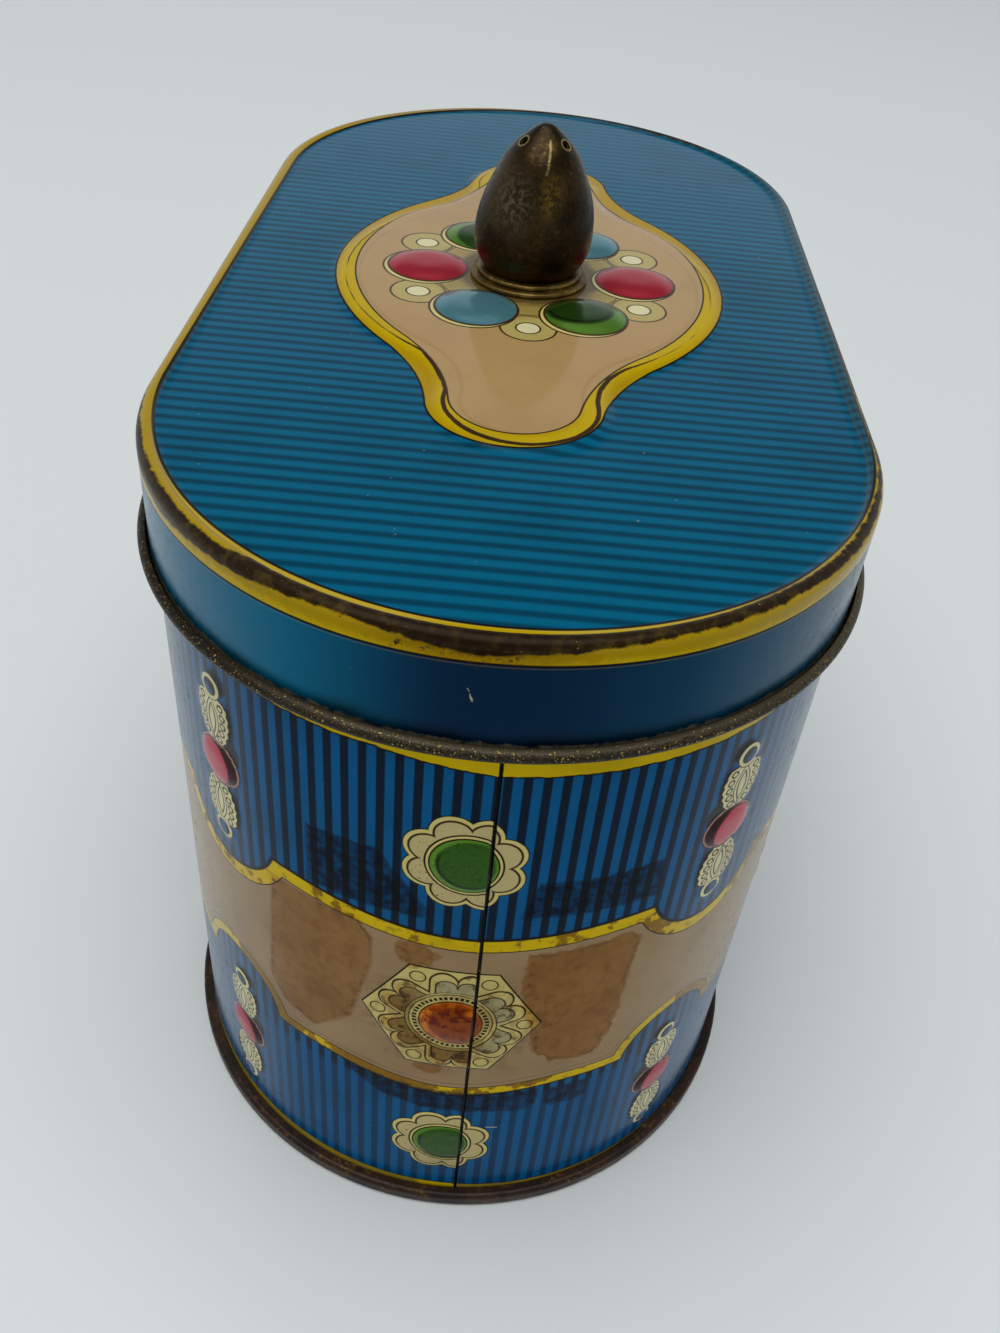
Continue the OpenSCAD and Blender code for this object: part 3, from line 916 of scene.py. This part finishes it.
def lay_marks(paint, s, z, broad, fine, streak):
    """Old tape and glue on the front end's beige band, and dark smears on its blue."""
    wobble = (broad - 0.5) * 2.5 + (fine - 0.5) * 4.0 + (streak - 0.5) * 2.5
    left, right = patch(s, z, LEFT_GLUE), patch(s, z, RIGHT_GLUE)
    blob = least(size(s + 6.4, z - 66) - 2.6, size(s + 3.6, (z - 39) * 1.4) - 2.0)
    glue = least(left + wobble * 0.3, right + wobble * 0.6, blob + wobble)
    inside = fade(glue, 0.7)
    paint.tint(fade(most(abs(s) - 9, abs(z - BROOCH_Z) - 12), 16) * 0.55, ink(212, 200, 182))
    paint.tint(inside * (0.6 + 0.2 * ramp(s, -10, 8) + 0.5 * broad), GLUE)
    paint.tint(inside * ramp(fine * 0.6 + streak * 0.4, 0.42, 0.66) * 0.4, ink(196, 160, 124))
    paint.tint(line(glue + 0.2, 0.5, 0.5) * ramp(fine, 0.42, 0.6) * 0.4, BROWN)
    around = fade(size((s + 1) * 0.8, z - 50) - 10, 9)
    paint.tint(around * ramp(fine * 0.5 + streak * 0.5, 0.5, 0.55) * 0.6, ink(196, 166, 136))
    smears = least(*(patch(s, z, corners) for corners in SMEARS)) + wobble * 0.35
    paint.tint(fade(smears, 0.7) * (0.8 + 1.6 * (fine - 0.5)), GREASE)
    paint.lay(line(smears, 0.3, 0.3) * ramp(fine, 0.42, 0.55) * 0.6, NIGHT)


def wall_material():
    """The wall's print: striped blue above and below a beige band, with borders and jewels."""
    paint = Paint(new_material("wall_print"), BLUE)
    s, z = flat_place(paint.tree)
    space = space_place(paint.tree)[3]
    broad, fine, speck = noises(paint.tree, space, (9, 3), (1.6, 3), (0.5, 2))
    streak = noise(paint.tree, space, 1.6, 4, 0.6, stretch=(1, 1, 0.35))
    print_s, print_z = wall_print(s, z)
    from_flower, from_drop = from_middles(print_s)

    stripe = 0.6 - fold(print_s - 1.35, STRIPE_PITCH / 2)
    # Painted reflection: the dark stripes are laid fainter below the lower border and towards the
    # rounded ends, standing in for reflected light that hazes them there.
    strong = 0.95 - 0.35 * fade(z - 32, 1.5) - 0.2 * ramp(abs(s), 15, 45)
    paint.lay(fade(stripe, 0.16) * strong, NIGHT)
    lay_borders(paint, print_z, from_flower, from_drop, broad, fine)
    stones = least(
        lay_flower(paint, from_flower, from_row(print_z, FLOWER_Z), speck),
        lay_brooch(paint, from_flower, print_z - BROOCH_Z, fine),
        lay_drop(paint, from_drop, from_row(print_z, DROP_Z)),
    )
    metal = 0.6 * fade(stones)
    lay_ends(paint, s, z, print_z, fine)
    lay_marks(paint, s, z, broad, fine, streak)
    scratch = most(abs(z - 22.7 + (s - 7) * 0.1) - 0.08, abs(s - 7) - 0.9)
    paint.lay(fade(scratch) * 0.8, PALE)
    paint.lay(line(s - LOCK_S, 0.5), BLACK)
    paint.lay(ramp(speck, 0.76, 0.79) * 0.6, DUST)
    paint.tint(ramp(broad, 0.4, 0.8) * 0.3, GRIME)
    rough = 0.2 + 0.2 * ramp(fine, 0.5, 0.9)
    gloss = 0.04 + 0.3 * ramp(abs(s), 22, 48)
    return finish_material(paint, rough, fine * 0.02 + speck * 0.006, gloss, metal)


# The lid's print


def lay_lid_ground(paint, x, y, z):
    """Fine stripes across the lid, inside its yellow edge and the dark line between them."""
    # Painted reflection: the stripes fade towards the back of the lid, standing in for the pale room
    # reflected there.
    strong = 0.95 - 0.4 * ramp(y, -20, 80)
    paint.lay(fade(0.66 - fold(y + 0.45, LID_STRIPE_PITCH / 2), 0.55) * strong, LID_STRIPE)
    outside = most(stadium(*moved(x, y, EDGE_PRINT), EDGE_SHORT) - EDGE_R, (ROLL_Z - z) * 3)
    paint.edged(-outside, LID_YELLOW, 0.4)
    # The yellow edge turns pale tan along the back: partly rubbed, partly a painted reflection.
    paint.lay(fade(-outside) * ramp(y, 60, 90), TAN)


def worn_rim(x, y, z, broad, fine):
    """How far the rolled rim is rubbed down to brown metal, between two angles about the roll."""
    turn = angle(stadium(x, y) - ROLL_R, z - ROLL_Z) * (180 / math.pi)
    inner = 74 + 51 * ramp(x, -31, -26) - 33 * ramp(x, 28, 42) - 25 * ramp(x, 45, 48.5)
    inner = inner - (38 * ramp(y, -65, -40) + 20 * ramp(y, -40, 60)) * ramp(-x, 20, 40)
    outer = 60 * ramp(x, -42, -17) - 32 - 58 * ramp(x, -15, -1) + 72 * ramp(x, -2, 20)
    beyond = most(turn - inner, outer - turn) * (RIM_R * math.pi / 180)
    spared = ramp(y, 40, 75) * ramp(-x, -30, 0)
    return fade(beyond + (fine - 0.5) * 1.2 + (broad - 0.5) * 0.5, 0.3) * (1 - spared)


def lay_worn(paint, worn, fine, speck):
    paint.lay(worn, WORN_DARK)
    paint.lay(worn * ramp(fine, 0.46, 0.7) * 0.4, WORN_LIGHT)
    paint.lay(worn * ramp(speck, 0.7, 0.76) * 0.5, GOLD)


def lay_cartouche(paint, x, y, broad, fine):
    """The beige field in its cracked yellow frame. Returns the distance from its outline."""
    outline = cartouche(*moved(x, y, FRAME_PRINT), PRINTED)
    paint.edged(outline + 0.1, LID_YELLOW, 0.3)
    pressed = cartouche(*moved(x, y, FRAME_PRESS), PRESSED)
    # Painted shade: the yellow frame is darkened on the slope outside the pressed step.
    paint.tint(fade(outline) * ramp(pressed, -1.6, 0.4) * 0.6, ink(210, 190, 120))
    paint.edged(outline + 3.25, BEIGE, 0.28)
    crease = least(pressed + 1.75, outline + 3.0) + (fine - 0.5) * 0.3
    near = ramp(-y, 24, 34)
    wide = 0.2 + 0.5 * near * (0.5 + broad)
    paint.lay(fade(abs(crease) - wide / 2, 0.16) * ramp(broad + near, 0.42, 0.56), UMBER)
    # Painted shade: a soft darker line in the beige along the shallow inner step.
    paint.tint(line(pressed + 3.9, 0.4, 0.6) * 0.25, TAN)
    return outline


def lay_jewels(paint, x, y, fine):
    """Six round stones on a golden ground, with white dots between. Returns 1 on the stones."""
    disc_x, disc_y = moved(x, y, JEWEL_DISCS)
    x, y = moved(x, y, JEWEL_RINGS)
    reach, turn, out, aside = about_centre(x, y, JEWELS)
    dot = between(reach, turn, JEWELS, DOT_RING)
    paint.edged(least(reach - 15.2, dot - 4.1), GOLD, 0.34, UMBER)
    paint.lay(fade(reach - 15.8 + (fine - 0.5) * 3, 3.0) * 0.7, OLIVE)
    paint.lay(fade(reach - 11.6 + (fine - 0.5) * 2, 1.5) * 0.7, UMBER)
    paint.edged(size(out - JEWEL_RING, aside) - 6.6, CREAM, 0.36, UMBER)
    _, _, out, aside = about_centre(disc_x, disc_y, JEWELS)
    stone = size(out - JEWEL_RING, aside) - 6.2
    third = maths("FRACT", angle(disc_x, disc_y) / math.pi) * 3
    is_blue = above(third, 0.5) - above(third, 1.5)
    is_green = above(third, 1.5) - above(third, 2.5)
    jewel = Paint(paint.material, RED).lay(is_blue, JEWEL_BLUE).lay(is_green, JEWEL_GREEN)
    rim = size(disc_x * maths("SIGN", -disc_y) - 7.5, abs(disc_y) - 13.4)
    jewel.lay(is_green * ramp(rim, 5.1, 5.7), BRIGHT_GREEN)
    crescent = is_green * above(abs(disc_y), 14.0) * line(rim - 4.7, 0.4, 0.3)
    jewel.lay(crescent * 0.8, BLACK)
    paint.edged(stone, jewel.colour, 0.45, UMBER)
    paint.edged(dot - 1.7, PALE, 0.3, UMBER)
    return fade(stone)


def panel_material():
    """The lid's panel: blue with fine stripes, a yellow edge and a framed beige cartouche."""
    paint = Paint(new_material("panel_print"), LID_BLUE)
    x, y, z, space = space_place(paint.tree)
    broad, fine, speck = noises(paint.tree, space, (14, 3), (1.8, 3), (0.6, 2))
    lay_lid_ground(paint, x, y, z)
    outline = lay_cartouche(paint, x, y, broad, fine)
    stones = lay_jewels(paint, x, y, fine)
    worn = worn_rim(x, y, z, broad, fine)
    lay_worn(paint, worn, fine, speck)
    paint.lay(ramp(speck, 0.77, 0.8) * 0.6, PALE)
    paint.tint(ramp(broad, 0.45, 0.8) * 0.2, GRIME)
    field = fade(outline + 3.2, 0.5)
    rough = 0.13 - 0.04 * field + 0.05 * stones + 0.12 * ramp(fine, 0.5, 0.9) + 0.2 * worn
    gloss = 0.1 + 0.3 * field * (1 - 0.3 * stones)
    return finish_material(paint, rough, fine * 0.012, gloss, metal=stones * 0.4)


def skirt_material():
    """The lid's rim and skirt: worn brown metal, a yellow strip and blue below, with painted shade in
    front and painted reflections towards the sides.
    """
    paint = Paint(new_material("skirt_print"), LID_BLUE)
    x, y, z, space = space_place(paint.tree)
    broad, fine, speck = noises(paint.tree, space, (9, 3), (1.5, 4, 0.6), (0.45, 2))
    lay_lid_ground(paint, x, y, z)
    paint.tint(fade(ROLL_Z - 1.0 - z + (fine - 0.5) * 2, 0.8) * 0.45, GOLD)
    paint.lay(ramp(speck, 0.68, 0.74) * ramp(broad, 0.45, 0.6) * 0.8, UMBER)
    worn = worn_rim(x, y, z, broad, fine)
    lay_worn(paint, worn, fine, speck)
    front = ramp(-y, 60, 80)
    # Painted reflection: the roll's face turns pale tan at the front left, standing in for the bright
    # floor mirrored there.
    paint.lay(ramp(-x, 36, 45) * front * fade(z - ROLL_Z, 1.0) * 0.7, TAN)
    paint.tint(ramp(-abs(x + 1), -16, -3) * front * 0.8, ink(200, 182, 150))
    # Painted shade and reflection: the blue is navy at the front middle and lighter towards the left
    # and right.
    blue = Paint(paint.material, SKIRT_SHADE_NAVY)
    blue.lay(ramp(-x, 3, 27), SKIRT_SHEEN_BLUE).lay(ramp(x, 5, 36), SKIRT_SHEEN_TEAL)
    strip = z - SKIRT_STRIP_Z - 0.4 * ramp(x, -30, 10)
    paint.edged(strip, blue.colour, 0.3)
    paint.lay(line(strip + 0.2, 0.1) * 0.3, OCHRE)
    smudge = fade(most(abs(x + 4) - 7, abs(z - 119.3) - 0.9), 1.5)
    paint.lay(smudge * ramp(fine, 0.5, 0.62) * ramp(speck, 0.45, 0.55), UMBER)
    scratch = most(abs(x + 1.6 + (z - 113) * 0.25) - 0.06, abs(z - 113.9) - 0.8)
    paint.lay(fade(scratch + (speck - 0.5) * 0.8) * front * 0.6, PALE)
    low = z - HEM_Z
    paint.tint(fade(low - 2.2 + (broad - 0.5) * 3, 2.0) * 0.85, ink(110, 104, 96))
    paint.lay(fade(low - 0.9 + (fine - 0.5) * 2.2, 0.5) * 0.85, DUST)
    paint.lay(ramp(speck, 0.79, 0.82) * 0.6, PALE)
    rough = 0.2 + 0.2 * ramp(fine, 0.4, 0.9) + worn * 0.15
    gloss = 0.04 + 0.2 * ramp(abs(x), 20, 42) + 0.06 * fade(ROLL_Z - z)
    return finish_material(paint, rough, fine * 0.025, gloss, metal=worn * 0.25)


# Bare metal


def hem_material():
    """The lid's curled hem: dark tin with gold flecks, and dust along its top."""
    paint = Paint(new_material("hem_metal"), ink(34, 24, 11))
    x, _, z, space = space_place(paint.tree)
    fine, speck = noises(paint.tree, space, (1.1, 4, 0.65), (0.28, 2))
    fleck = ramp(speck, 0.6, 0.66) * ramp(fine, 0.4, 0.55)
    paint.lay(ramp(fine, 0.42, 0.6) * 0.8, ink(12, 8, 4))
    paint.lay(fade(HEM_Z + 0.6 - z + (speck - 0.5) * 2.0, 0.5) * ramp(x, -36, -14) * 0.5, DUST)
    paint.lay(fleck * 0.9, ink(184, 156, 76))
    rough = 0.42 + 0.3 * (fine - 0.5)
    metal = 0.2 + 0.6 * fleck
    return finish_material(paint, rough, fine * 0.1 + speck * 0.03, gloss=0.2, metal=metal)


def worn_metal(name, base, dark, bright, metal, rough):
    """Browned bare sheet, with dusty and rubbed spots."""
    paint = Paint(new_material(name), base)
    space = space_place(paint.tree)[3]
    broad, fine = noises(paint.tree, space, (5, 3), (0.9, 4, 0.65))
    paint.lay(ramp(broad, 0.4, 0.62) * 0.8, dark)
    paint.lay(ramp(fine, 0.52, 0.74) * ramp(broad, 0.65, 0.45) * 0.85, bright)
    rough = rough + 0.3 * (fine - 0.5) + 0.2 * (broad - 0.5)
    return finish_material(paint, rough, fine * 0.05, gloss=0.3, metal=metal)


def bud_material():
    """Old dark bronze with bright vents. Its front is rubbed and painted with sheen and a highlight;
    painted reflection tints its foot amber and painted shade darkens its lower right.
    """
    paint = Paint(new_material("bud_bronze"), ink(58, 43, 19))
    x, y, z, space = space_place(paint.tree)
    broad, fine, speck = noises(paint.tree, space, (5, 3), (0.8, 4, 0.7), (0.25, 2))
    rise = z - BUD_FOOT_Z
    paint.lay(ramp(broad, 0.44, 0.62) * 0.6, ink(26, 17, 7))
    paint.lay(ramp(fine, 0.5, 0.66) * 0.6, ink(20, 12, 5))
    paint.lay(ramp(-fine, -0.44, -0.3) * 0.5, ink(104, 84, 44))
    # Partly rubbed metal, partly painted sheen: a grey patch left of the middle.
    rubbed_grey_sheen = fade(size(x + 3.6, (rise - 12) * 0.7) - 2.6, 3.5) * ramp(fine, 0.42, 0.6)
    paint.lay(rubbed_grey_sheen * 0.6, ink(118, 106, 82))
    brass = fade(size(x - 2.2, (rise - 13.5) * 0.6) - 1.4, 2.6) * ramp(fine, 0.42, 0.58)
    paint.lay(brass * 0.65, ink(132, 108, 40))
    # A bright scratch on the front near the tip, which also stands in as a painted highlight line.
    bend = 0.05 * (rise - 18.5) * (rise - 18.5)
    scratch = most(abs(x - 1.5 + bend) - 0.12, abs(rise - 18.3) - 2.0) + (fine - 0.5) * 0.5
    paint.lay(fade(scratch, 0.3) * ramp(-y, 0, 1) * 0.5, RUBBED_BRASS_AND_GLINT)
    _, _, out, aside = about_centre(x - BUD_LEAN * rise, y, VENTS, VENT_TURN)
    mouth = size(size(out - VENT_OUT, rise - VENT_RISE), aside) - VENT_R
    paint.lay(line(mouth - 0.25, 0.25) * 0.7, RUBBED_BRASS_AND_GLINT)
    # Painted reflection: a warm amber glow low on the bud, near its foot.
    paint.lay(ramp(-rise, -4.0, -0.8) * 0.8, ink(70, 40, 8))
    # Painted shade: darker low down and on the right.
    paint.lay(ramp(x - rise * 0.5, -4, 2) * 0.5, ink(18, 11, 4))
    rough = 0.32 + 0.5 * (fine - 0.5) + 0.14 * rubbed_grey_sheen
    return finish_material(paint, rough, fine * 0.06 + speck * 0.02, gloss=0.3, metal=0.8)


def dress(mesh, material):
    mesh.materials.clear()
    mesh.materials.append(material)


def make_bud(material):
    """The bud leans a little to the right, and handling has left it slightly uneven."""
    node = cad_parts["knob_bud"]
    mesh = node.data.copy()
    places = np.empty(len(mesh.vertices) * 3)
    mesh.vertices.foreach_get("co", places)
    x, y, z = places.reshape(-1, 3).T / MM
    rise = z - BUD_FOOT_Z
    turn = np.arctan2(y, x)
    uneven = 0.012 * np.sin(2 * turn + rise / 5) + 0.008 * np.sin(3 * turn - rise / 3)
    wide = 1 + (0.02 + uneven) * ramp(rise, 0.5, 4) * ramp(-rise, -21, -14)
    wide = wide + 0.14 * ramp(rise, 14, 20)
    reach = np.hypot(x, y) * wide
    x = reach * np.cos(turn + BUD_TURN) + BUD_LEAN * rise
    y = reach * np.sin(turn + BUD_TURN)
    mesh.vertices.foreach_set("co", (np.stack([x, y, z], -1) * MM).reshape(-1))
    mesh.update()
    dress(mesh, material)
    return add_object("bud_dented", mesh)


# The stage


def make_camera():
    """The photograph's camera, found from the outlines in it."""
    focal_px, frame_px, sensor_mm = 1184.3, 1333, 36.0
    place = Vector((0.18, -187.5, 198.2)) * MM
    yaw, pitch, roll = 0.0088, 0.7062, 0.1018
    ahead = Vector((
        math.sin(yaw) * math.cos(pitch), math.cos(yaw) * math.cos(pitch), -math.sin(pitch)
    ))
    level = Vector((math.cos(yaw), -math.sin(yaw), 0))
    upright = level.cross(ahead)
    right = level * math.cos(roll) + upright * math.sin(roll)
    up = upright * math.cos(roll) - level * math.sin(roll)
    data = bpy.data.cameras.new("photo_camera")
    data.sensor_width = sensor_mm
    data.lens = focal_px / frame_px * sensor_mm
    data.clip_start = 0.01
    camera = add_object("photo_camera", data)
    turn = Matrix((right, up, -ahead)).transposed()
    camera.matrix_world = Matrix.Translation(place) @ turn.to_4x4()
    bpy.context.scene.camera = camera


def make_floor():
    material = new_material("floor")
    shader = material.node_tree.nodes["Principled BSDF"]
    shader.inputs["Base Color"].default_value = ink(224, 228, 227)
    shader.inputs["Roughness"].default_value = 0.6
    half = 4.0
    corners = [(-half, -half, 0), (half, -half, 0), (half, half, 0), (-half, half, 0)]
    mesh = bpy.data.meshes.new("floor")
    mesh.from_pydata(corners, [], [(0, 1, 2, 3)])
    mesh.materials.append(material)
    floor = add_object("floor", mesh)


def make_light():
    """A pale room that is darker overhead, and one wide lamp above."""
    world = bpy.data.worlds.new("studio")
    bpy.context.scene.world = world
    world.use_nodes = True
    tree = world.node_tree
    height = parts_of(tree, tree.nodes.new("ShaderNodeTexCoord").outputs["Generated"])[2]
    back = tree.nodes["Background"]
    back.inputs["Color"].default_value = ink(228, 234, 238)
    strength = 0.66 - 0.5 * ramp(height, 0.3, 0.62) + 0.5 * ramp(height, 0.7, 0.95)
    plug(tree, strength, back.inputs["Strength"])

    data = bpy.data.lights.new("overhead", "AREA")
    data.size = 2.3
    data.energy = 42
    lamp = add_object("overhead", data)
    lamp.location = (-0.2, -0.3, 2.4)
    lamp.rotation_mode = "QUATERNION"
    lamp.rotation_quaternion = (Vector((0, 0, 0.1)) - lamp.location).to_track_quat("-Z", "Y")


make_camera()
make_floor()
make_light()

inside_tin = worn_metal(
    "inside_tin", ink(150, 142, 120), ink(110, 98, 72), ink(176, 170, 150), metal=0.8, rough=0.38
)
seam_metal = worn_metal(
    "seam_metal", ink(50, 27, 10), ink(22, 12, 5), ink(112, 84, 34), metal=0.25, rough=0.42
)
collar_brass = worn_metal(
    "collar_brass", ink(138, 112, 54), ink(84, 62, 26), ink(186, 158, 92), metal=0.7, rough=0.34
)
steel = worn_metal(
    "plated_steel", ink(150, 148, 144), ink(110, 106, 98), ink(190, 188, 184), metal=0.95, rough=0.35
)

body = make_body([wall_material(), inside_tin])
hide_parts("body_shell")
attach(body, "canister")

lid = make_lid([panel_material(), skirt_material(), hem_material(), inside_tin])
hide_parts("lid_shell")
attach(lid, "lid")

bud = make_bud(bud_material())
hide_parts("knob_bud")
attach(bud, "lid")

for name, material in (
    ("bottom_plate", seam_metal), ("knob_collar", collar_brass),
    ("knob_stud", steel), ("knob_washer", steel), ("knob_nut", steel),
):
    dress(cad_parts[name].data, material)

bpy.context.scene.view_settings.view_transform = "Standard"
